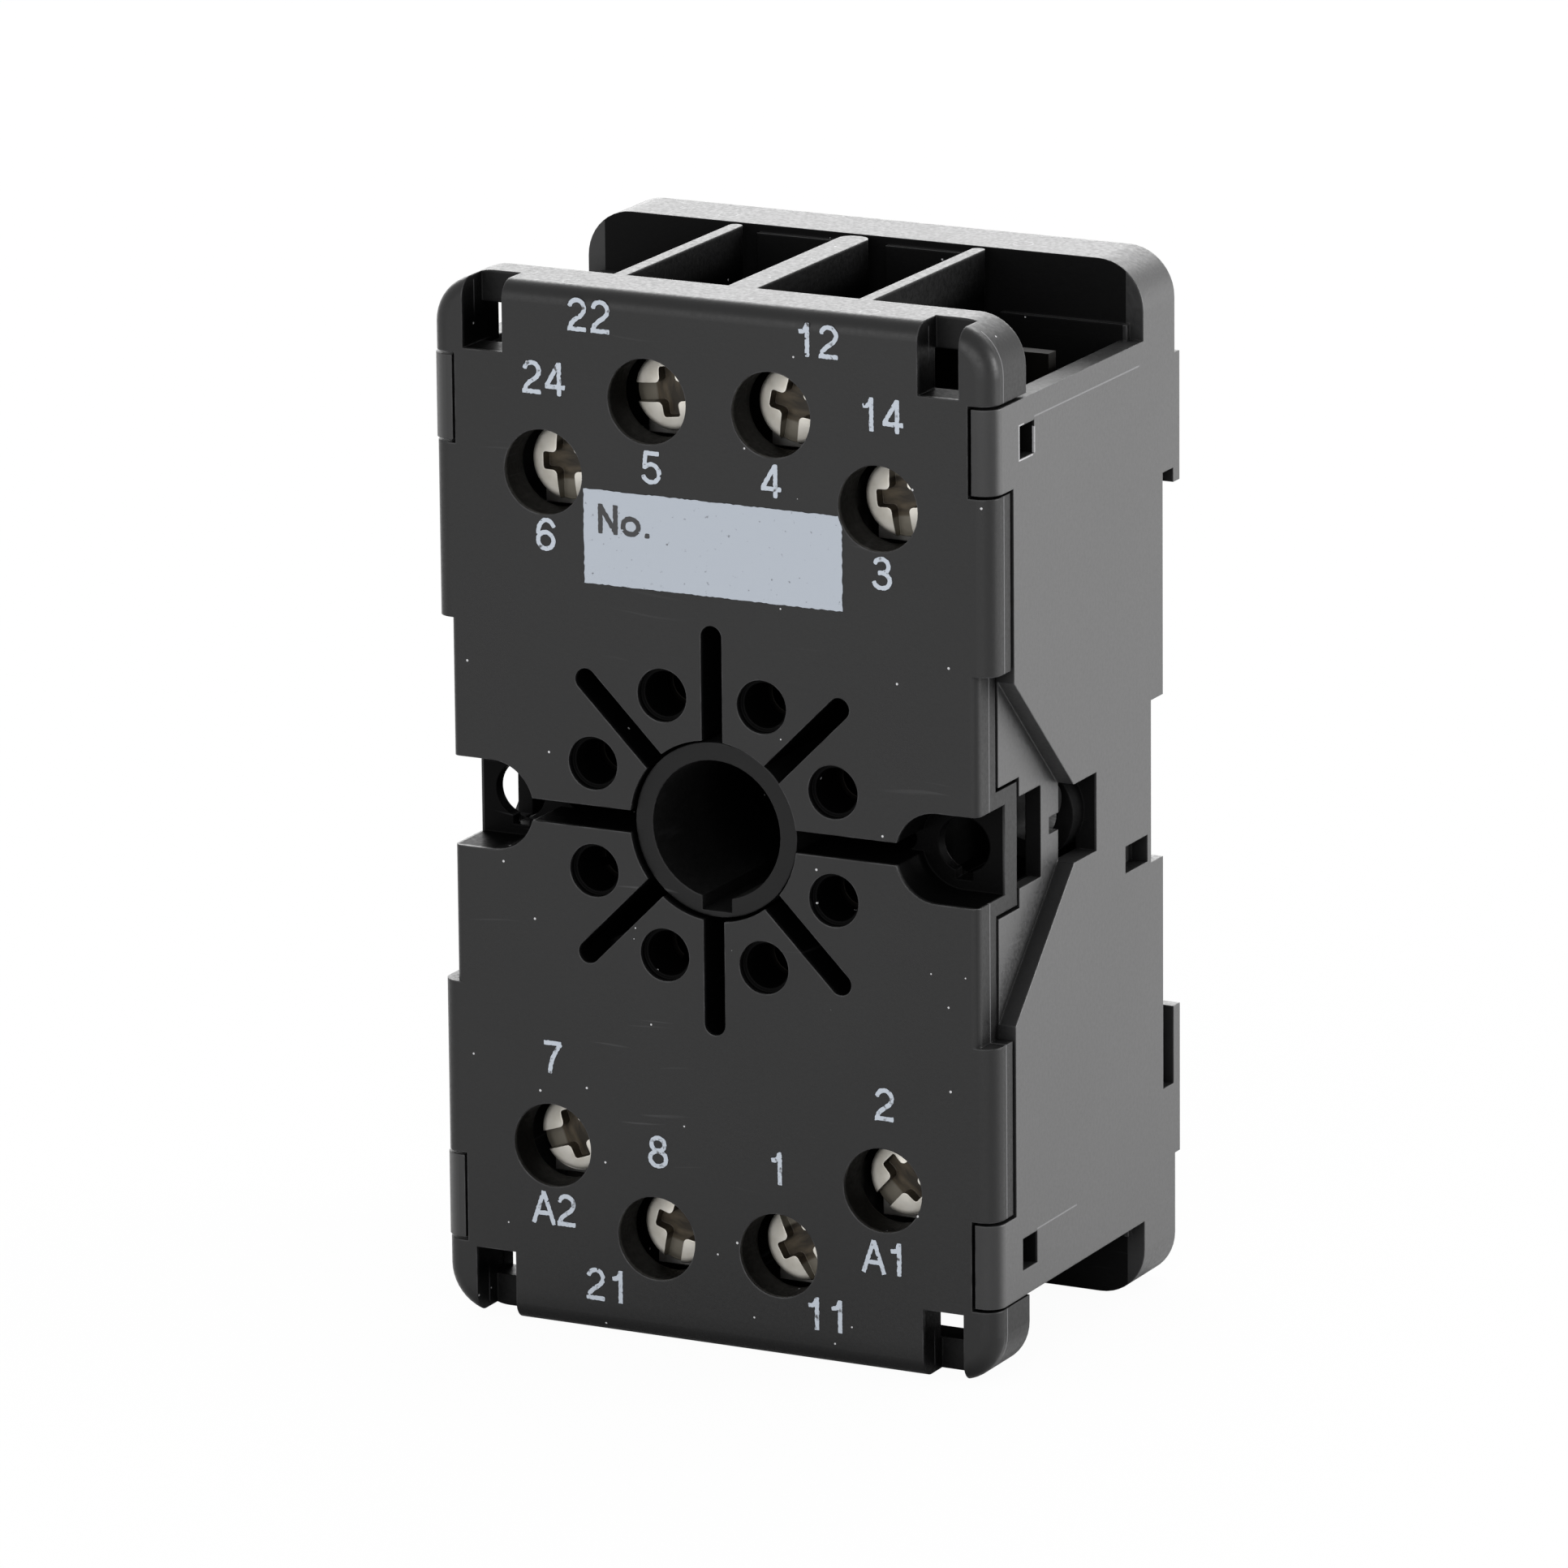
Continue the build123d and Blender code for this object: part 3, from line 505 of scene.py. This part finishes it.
def makeInk(name, ink, look):
    material, tree, shader = newMaterial(name)
    mottle = noiseAt(tree, objectPlace(tree), look["mottleScale"], look["mottleDetail"])["Fac"]
    thin = remap(tree, mottle, ink["gaps"] - look["gapBefore"], ink["gaps"] + look["gapAfter"])
    tree.links.new(mixColours(tree, thin, ink["colour"], look["under"]), shader.inputs["Base Color"])
    shader.inputs["Roughness"].default_value = look["roughness"]
    return material


numberInk = makeInk("numberInk", inkLook["numbers"], inkLook)
fieldInk = makeInk("fieldInk", inkLook["field"], inkLook)
letteringInk = makeInk("letteringInk", inkLook["lettering"], inkLook)
print("materials made")


def setMaterial(mesh, material):
    mesh.materials.clear()
    mesh.materials.append(material)


setMaterial(nodes["front_housing"].data, housingPlastic)
setMaterial(nodes["base_housing"].data, basePlastic)
setMaterial(nodes["rail_clip"].data, clipPlastic)
for number in terminals:
    setMaterial(nodes[f"contact_strip_{number}"].data, contactNickel)
    setMaterial(nodes[f"clamp_plate_{number}"].data, platedSteel)


def addObject(name, data):
    item = bpy.data.objects.new(name, data)
    bpy.context.scene.collection.objects.link(item)
    return item


def meshOf(build, name):
    mesh = bpy.data.meshes.new(name)
    build.to_mesh(mesh)
    build.free()
    return mesh


# Thickens flat faces along y by a depth in mm
def thicken(build, faces, depth):
    raised = bmesh.ops.extrude_face_region(build, geom=faces)["geom"]
    corners = [part for part in raised if isinstance(part, bmesh.types.BMVert)]
    bmesh.ops.translate(build, vec=(0, depth * mm, 0), verts=corners)


# Terminal screws in mm: a domed head with a slot and a shorter cross, on a threaded shank
screwShape = {
    "headRadius": 2.48, "domeRadius": 7.5, "headFront": 2.8, "headHeight": 1.8, "rimRound": 0.34,
    "rimDepth": 1.4, "headChamfer": 0.1, "neckRadius": 1.2, "segments": 96, "domeSteps": 12, "rimSteps": 4,
    "slotWidth": 1.18, "slotDepth": 0.95, "crossWidth": 1.08, "crossReach": 1.55, "landCorner": 0.30,
    "crossCorner": 0.16, "landSteps": 5, "crossSteps": 3, "cutterMargin": 1.0,
    "shankRadius": 1.49, "shankLength": 10.0, "shankOverlap": 0.02, "pointLength": 0.45, "pointTaper": 0.45,
    "threadPitch": 0.5, "threadDepth": 0.27, "threadRows": 160, "threadSegments": 36, "sharpAngle": 32.0,
    "turns": (118.0, 46.0, 95.0, 79.0, 7.0, 91.0, 20.0, 75.0),
}


def addPoint(build, radius, depth, turn):
    return build.verts.new((radius * math.cos(turn) * mm, depth * mm, radius * math.sin(turn) * mm))


def revolve(profile, segments):
    build = bmesh.new()
    rings = []
    for radius, depth in profile:
        steps = segments if radius > 0 else 1
        rings.append([addPoint(build, radius, depth, 2 * math.pi * step / segments) for step in range(steps)])
    for first, second in zip(rings, rings[1:]):
        for step in range(segments):
            following = (step + 1) % segments
            corners = [first[step % len(first)], first[following % len(first)],
                       second[following % len(second)], second[step % len(second)]]
            build.faces.new(list(dict.fromkeys(corners)))
    bmesh.ops.recalc_face_normals(build, faces=build.faces)
    return build


def headProfile(shape):
    dome, rim = shape["domeRadius"], shape["rimRound"]
    edge = shape["headRadius"] - rim
    points = []
    for step in range(shape["domeSteps"] + 1):
        radius = edge * step / shape["domeSteps"]
        points.append((radius, shape["headFront"] + dome - math.sqrt(dome ** 2 - radius ** 2)))
    domeEnd = points[-1][1]
    shoulder = domeEnd + rim * shape["rimDepth"]
    for step in range(1, shape["rimSteps"] + 1):
        turn = math.pi / 2 * step / shape["rimSteps"]
        points.append((edge + rim * math.sin(turn), shoulder - (shoulder - domeEnd) * math.cos(turn)))
    back, chamfer = shape["headFront"] + shape["headHeight"], shape["headChamfer"]
    return points + [(shape["headRadius"], back - chamfer), (shape["headRadius"] - chamfer, back),
                     (shape["neckRadius"], back), (0.0, back)]


# Plan of the driver recess: a slot across the head and a shorter cross, with the lands' corners rounded
def recessPlan(shape):
    slot, cross = shape["slotWidth"] / 2, shape["crossWidth"] / 2
    reach, corner, end = shape["crossReach"], shape["landCorner"], shape["crossCorner"]
    quarter = [(shape["headRadius"] + shape["cutterMargin"], slot)]
    for step in range(shape["landSteps"] + 1):
        turn = math.pi / 2 * step / shape["landSteps"]
        quarter.append((cross + corner - corner * math.sin(turn), slot + corner - corner * math.cos(turn)))
    for step in range(shape["crossSteps"] + 1):
        turn = math.pi / 2 * step / shape["crossSteps"]
        quarter.append((cross - end + end * math.cos(turn), reach - end + end * math.sin(turn)))
    upper = quarter + [(-x, z) for x, z in reversed(quarter)]
    return upper + [(-x, -z) for x, z in upper]


def recessCutter(shape):
    build = bmesh.new()
    front = shape["headFront"] - shape["cutterMargin"]
    base = build.faces.new([build.verts.new((x * mm, front * mm, z * mm)) for x, z in recessPlan(shape)])
    thicken(build, [base], shape["headFront"] + shape["slotDepth"] - front)
    bmesh.ops.recalc_face_normals(build, faces=build.faces)
    return addObject("recessCutter", meshOf(build, "recessCutter"))


def makeHeadMesh(shape):
    head = addObject("screwHead", meshOf(revolve(headProfile(shape), shape["segments"]), "screwHead"))
    cutter = recessCutter(shape)
    cut = head.modifiers.new("recess", "BOOLEAN")
    cut.operation = "DIFFERENCE"
    cut.solver = "EXACT"
    cut.object = cutter
    shown = head.evaluated_get(bpy.context.evaluated_depsgraph_get())
    mesh = bpy.data.meshes.new_from_object(shown)
    bpy.data.objects.remove(head)
    bpy.data.objects.remove(cutter)
    return mesh


def addThread(build, shape):
    start = shape["headFront"] + shape["headHeight"] - shape["shankOverlap"]
    length, rows, around = shape["shankLength"], shape["threadRows"], shape["threadSegments"]
    grid = []
    for row in range(rows + 1):
        depth = start + length * row / rows
        taper = max(0.0, 1 - (start + length - depth) / shape["pointLength"]) * shape["pointTaper"]
        ring = []
        for step in range(around):
            phase = (depth / shape["threadPitch"] - step / around) % 1
            radius = shape["shankRadius"] - shape["threadDepth"] * (1 - abs(2 * phase - 1)) - taper
            ring.append(addPoint(build, radius, depth, 2 * math.pi * step / around))
        grid.append(ring)
    for first, second in zip(grid, grid[1:]):
        for step in range(around):
            following = (step + 1) % around
            build.faces.new((first[step], second[step], second[following], first[following]))
    build.faces.new(grid[-1])
    build.faces.new(list(reversed(grid[0])))


def makeScrewMesh(shape):
    build = bmesh.new()
    head = makeHeadMesh(shape)
    build.from_mesh(head)
    bpy.data.meshes.remove(head)
    addThread(build, shape)
    bmesh.ops.recalc_face_normals(build, faces=build.faces)
    mesh = meshOf(build, "terminalScrew")
    mesh.shade_smooth()
    mesh.set_sharp_from_angle(angle=math.radians(shape["sharpAngle"]))
    return mesh


screwMesh = makeScrewMesh(screwShape)
for number, turn in zip(terminals, screwShape["turns"]):
    low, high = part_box(f"terminal_screw_{number}")
    screw = addObject(f"screw_{number}", screwMesh.copy())
    screw.location = ((low.x + high.x) / 2, 0, (low.z + high.z) / 2)
    screw.rotation_euler = Euler((0, -math.radians(turn), 0))
    setMaterial(screw.data, screwNickel)
    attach(screw, f"screw_{number}")
    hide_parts(f"terminal_screw_{number}")
print("screws made")

# Print on the face, in mm: terminal numbers, and a writing field with its lettering. Each line of text goes
# with the place of its middle.
printLook = {
    "numbers": {
        "height": 2.05, "advance": 0.76, "stroke": 0.275, "lift": 0.0,
        "lines": [
            ("22", -7.9, 30.9), ("12", 7.3, 30.8), ("24", -11.0, 26.8), ("14", 11.5, 26.7), ("5", -3.8, 22.0),
            ("4", 4.2, 22.0), ("6", -11.0, 17.2), ("3", 11.5, 17.1), ("7", -11.0, -15.4), ("2", 11.4, -15.6),
            ("8", -3.9, -20.5), ("1", 4.2, -20.5), ("A2", -11.0, -25.0), ("A1", 11.4, -25.2),
            ("21", -7.5, -29.4), ("11", 7.4, -29.3),
        ],
    },
    "lettering": {"height": 1.8, "advance": 0.85, "stroke": 0.31, "lift": 0.016,
                  "lines": [("No.", -5.2, 18.55)]},
    "field": {"left": -8.45, "right": 8.8, "low": 14.5, "high": 20.3, "raggedness": 0.03, "step": 0.2,
              "seed": 7, "gap": 0.004, "wells": (3, 6), "wellRadius": 2.72},
    "thickness": 0.02, "gap": 0.002, "cell": 0.045, "broadening": 1.17, "edgeNoise": 0.035,
    "edgeNoiseScale": 5.5, "pinholeScale": 4.2, "pinholeShift": (9, 0, 0), "pinholeLevel": 0.52,
    "pinholeDepth": 0.6,
}


def arc(middleX, middleZ, radiusX, radiusZ, start, end, steps=16):
    turns = [math.radians(start + (end - start) * step / steps) for step in range(steps + 1)]
    return [(middleX + radiusX * math.cos(turn), middleZ + radiusZ * math.sin(turn)) for turn in turns]


# Middle lines of each character's strokes, for a height of 1
characterStrokes = {
    "1": [[(0.36, 0.0), (0.36, 1.0)], [(0.13, 0.735), (0.24, 0.745), (0.31, 0.81), (0.345, 0.93)]],
    "2": [arc(0.30, 0.69, 0.205, 0.24, 168, 0)
          + [(0.49, 0.60), (0.43, 0.50), (0.24, 0.34), (0.13, 0.21), (0.105, 0.07)],
          [(0.035, 0.067), (0.545, 0.067)]],
    "3": [arc(0.29, 0.725, 0.19, 0.205, 165, -75), arc(0.29, 0.295, 0.225, 0.228, 85, -168),
          [(0.20, 0.52), (0.33, 0.52)]],
    "4": [[(0.415, 0.0), (0.415, 1.0)], [(0.40, 0.95), (0.07, 0.30)], [(0.02, 0.265), (0.58, 0.265)]],
    "5": [[(0.11, 0.93), (0.51, 0.93)], [(0.145, 0.95), (0.105, 0.46)],
          arc(0.29, 0.335, 0.228, 0.268, 142, -165)],
    "6": [arc(0.305, 0.315, 0.215, 0.248, 0, 360, 24), arc(0.335, 0.50, 0.245, 0.432, 182, 32)],
    "7": [[(0.05, 0.93), (0.53, 0.93)],
          [(0.52, 0.92), (0.40, 0.72), (0.29, 0.48), (0.23, 0.24), (0.21, 0.0)]],
    "8": [arc(0.30, 0.735, 0.185, 0.197, 0, 360, 24), arc(0.30, 0.295, 0.225, 0.228, 0, 360, 24)],
    "A": [[(0.01, 0.0), (0.30, 0.99)], [(0.59, 0.0), (0.30, 0.99)], [(0.12, 0.33), (0.48, 0.33)]],
    "N": [[(0.08, 0.0), (0.08, 1.0)], [(0.56, 0.0), (0.56, 1.0)], [(0.08, 0.93), (0.56, 0.07)]],
    "o": [arc(0.32, 0.33, 0.245, 0.265, 0, 360, 24)],
    ".": [[(0.12, 0.0), (0.12, 0.16)]],
}
sameSpot = 1e-4


# Distance to the edge of the nearest stroke, negative within it. Open strokes end square.
def strokeDistance(x, z, strokes, reach):
    nearest = math.inf
    for line in strokes:
        closed = math.dist(line[0], line[-1]) < sameSpot
        last = len(line) - 2
        for index, ((fromX, fromZ), (toX, toZ)) in enumerate(zip(line, line[1:])):
            runX, runZ = toX - fromX, toZ - fromZ
            length = math.hypot(runX, runZ)
            along = ((x - fromX) * runX + (z - fromZ) * runZ) / length
            aside = abs((x - fromX) * runZ - (z - fromZ) * runX) / length
            beyond = max(-along, along - length, 0.0)
            square = not closed and ((along < 0 and index == 0) or (along > length and index == last))
            distance = max(aside, reach + beyond) if square else math.hypot(aside, beyond)
            nearest = min(nearest, distance)
    return nearest - reach


# Fills the strokes cell by cell, so that the edge of the ink can be as ragged as a pad print
def inkCells(build, strokes, look, reach, place):
    cell, margin = look["cell"], reach + 2 * look["cell"]
    xs = [x for line in strokes for x, z in line]
    zs = [z for line in strokes for x, z in line]
    left, low = min(xs) - margin, min(zs) - margin
    columns = int((max(xs) + margin - left) / cell) + 1
    rows = int((max(zs) + margin - low) / cell) + 1
    shift = Vector(look["pinholeShift"])
    level = {}
    for row in range(rows + 1):
        for column in range(columns + 1):
            x, z = left + column * cell, low + row * cell
            spot = Vector((x + place[0], 0.0, z + place[1]))
            value = strokeDistance(x, z, strokes, reach)
            value += look["edgeNoise"] * noise.noise(spot * look["edgeNoiseScale"])
            pinhole = noise.noise(spot * look["pinholeScale"] + shift) - look["pinholeLevel"]
            level[column, row] = value + look["pinholeDepth"] * max(0.0, pinhole)
    corners = {}

    def corner(first, second):
        key = (first, second) if first <= second else (second, first)
        if key not in corners:
            share = 0.0 if key[0] == key[1] else level[key[0]] / (level[key[0]] - level[key[1]])
            x = left + (key[0][0] + (key[1][0] - key[0][0]) * share) * cell + place[0]
            z = low + (key[0][1] + (key[1][1] - key[0][1]) * share) * cell + place[1]
            corners[key] = build.verts.new((x * mm, frontFaceY - look["gap"] * mm, z * mm))
        return corners[key]

    for row in range(rows):
        for column in range(columns):
            around = [(column, row), (column + 1, row), (column + 1, row + 1), (column, row + 1)]
            outline = []
            for here, following in zip(around, around[1:] + around[:1]):
                if level[here] < 0:
                    outline.append(corner(here, here))
                if (level[here] < 0) != (level[following] < 0):
                    outline.append(corner(here, following))
            if len(outline) > 2:
                build.faces.new(outline)


def printedText(name, style, look):
    build = bmesh.new()
    height = style["height"]
    for text, middleX, middleZ in style["lines"]:
        for index, character in enumerate(text):
            across = look["broadening"] * height
            strokes = [[(x * across, z * height) for x, z in line] for line in characterStrokes[character]]
            startX = middleX + (index - len(text) / 2) * style["advance"] * height
            inkCells(build, strokes, look, style["stroke"] / 2, (startX, middleZ - height / 2))
    thicken(build, list(build.faces), -(look["thickness"] + style["lift"]))
    bmesh.ops.recalc_face_normals(build, faces=build.faces)
    return meshOf(build, name)


def fieldOutline(field):
    shake = random.Random(field["seed"])
    corners = [(field["left"], field["low"]), (field["right"], field["low"]),
               (field["right"], field["high"]), (field["left"], field["high"])]
    outline = []
    for start, end in zip(corners, corners[1:] + corners[:1]):
        steps = int(math.dist(start, end) / field["step"])
        for step in range(steps):
            share = step / steps
            x = start[0] + (end[0] - start[0]) * share + shake.uniform(-1, 1) * field["raggedness"]
            z = start[1] + (end[1] - start[1]) * share + shake.uniform(-1, 1) * field["raggedness"]
            outline.append((x, z))
    return outline


# The field stops short of the screw wells that it would run into
def makeField(field, thickness):
    boxes = [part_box(f"terminal_screw_{number}") for number in field["wells"]]
    wells = [(low + high) / 2 / mm for low, high in boxes]
    build = bmesh.new()
    ring = []
    for x, z in fieldOutline(field):
        for well in wells:
            away = Vector((x - well.x, z - well.z))
            if away.length < field["wellRadius"]:
                away = away.normalized() * field["wellRadius"]
                x, z = well.x + away.x, well.z + away.y
        ring.append(build.verts.new((x * mm, frontFaceY - field["gap"] * mm, z * mm)))
    thicken(build, [build.faces.new(ring)], -thickness)
    bmesh.ops.triangulate(build, faces=build.faces)
    bmesh.ops.recalc_face_normals(build, faces=build.faces)
    return meshOf(build, "writingField")


def addPrint(name, mesh, material):
    setMaterial(mesh, material)
    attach(addObject(name, mesh), "housing")


addPrint("terminal_numbers", printedText("terminalNumbers", printLook["numbers"], printLook), numberInk)
addPrint("writing_field", makeField(printLook["field"], printLook["thickness"]), fieldInk)
addPrint("field_lettering", printedText("fieldLettering", printLook["lettering"], printLook), letteringInk)
print("print made")

# Camera at the photograph's angle
cameraView = {
    "place": (0.325432, -0.629464, 0.191525), "turn": (75.0944, 0.5150, 26.8558), "lens": 281.579,
    "sensor": 36.0, "nearest": 0.01,
}
camera = addObject("camera", bpy.data.cameras.new("camera"))
camera.location = cameraView["place"]
camera.rotation_euler = Euler([math.radians(angle) for angle in cameraView["turn"]])
camera.data.lens = cameraView["lens"]
camera.data.sensor_width = cameraView["sensor"]
camera.data.sensor_fit = "HORIZONTAL"
camera.data.clip_start = cameraView["nearest"]
bpy.context.scene.camera = camera

# Studio: a white floor, a dim room, and large soft lamps with their name, place, width, height and radiance
studio = {
    "floorSize": 4.0, "floorDrop": 0.00002, "floorWhite": 1.0, "floorShading": 0.04, "floorPaint": 0.85,
    "roomLevel": 0.78,
    "lamps": [
        ("rearWall", (-0.42, 1.1, 0.42), 1.3, 0.85, 2.6),
        ("frontWall", (0.1, -1.1, 0.30), 1.4, 0.6, 3.0),
        ("keyRight", (1.0, 0.5, 0.2), 0.45, 0.45, 13.0),
    ],
}


def makeFloor():
    build = bmesh.new()
    bmesh.ops.create_grid(build, x_segments=1, y_segments=1, size=studio["floorSize"] / 2)
    floor = addObject("studioFloor", meshOf(build, "studioFloor"))
    floor.location.z = cadBounds[0][2] - studio["floorDrop"]
    material = bpy.data.materials.new("studioWhite")
    material.use_nodes = True
    tree = material.node_tree
    tree.nodes.clear()
    ray = addNode(tree, "ShaderNodeLightPath").outputs["Is Camera Ray"]
    share = calculate(tree, "MULTIPLY", ray, 1 - studio["floorShading"])
    glow = addNode(tree, "ShaderNodeEmission", None, Color=grey(studio["floorWhite"]), Strength=1.0)
    matt = addNode(tree, "ShaderNodeBsdfDiffuse", None, Color=grey(studio["floorPaint"]))
    mixed = addNode(tree, "ShaderNodeMixShader", None, in0=share, in1=matt.outputs[0], in2=glow.outputs[0])
    addNode(tree, "ShaderNodeOutputMaterial", None, Surface=mixed.outputs[0])
    setMaterial(floor.data, material)


def makeLamp(name, place, width, height, radiance):
    lamp = bpy.data.lights.new(name, "AREA")
    lamp.shape = "RECTANGLE"
    lamp.size = width
    lamp.size_y = height
    lamp.energy = radiance * math.pi * width * height
    holder = addObject(name, lamp)
    holder.location = place
    holder.rotation_euler = (-Vector(place)).to_track_quat("-Z", "Y").to_euler()
    holder.visible_camera = False


def makeRoom():
    world = bpy.data.worlds.new("studioRoom")
    bpy.context.scene.world = world
    world.use_nodes = True
    tree = world.node_tree
    tree.nodes.clear()
    ray = addNode(tree, "ShaderNodeLightPath").outputs["Is Camera Ray"]
    room = addNode(tree, "ShaderNodeBackground", None, Color=grey(1.0), Strength=studio["roomLevel"])
    white = addNode(tree, "ShaderNodeBackground", None, Color=grey(1.0), Strength=1.0)
    seen = addNode(tree, "ShaderNodeMixShader", None, in0=ray, in1=room.outputs[0], in2=white.outputs[0])
    addNode(tree, "ShaderNodeOutputWorld", None, Surface=seen.outputs[0])


makeFloor()
makeRoom()
for lampValues in studio["lamps"]:
    makeLamp(*lampValues)
bpy.context.scene.view_settings.view_transform = "Standard"
print("studio made")
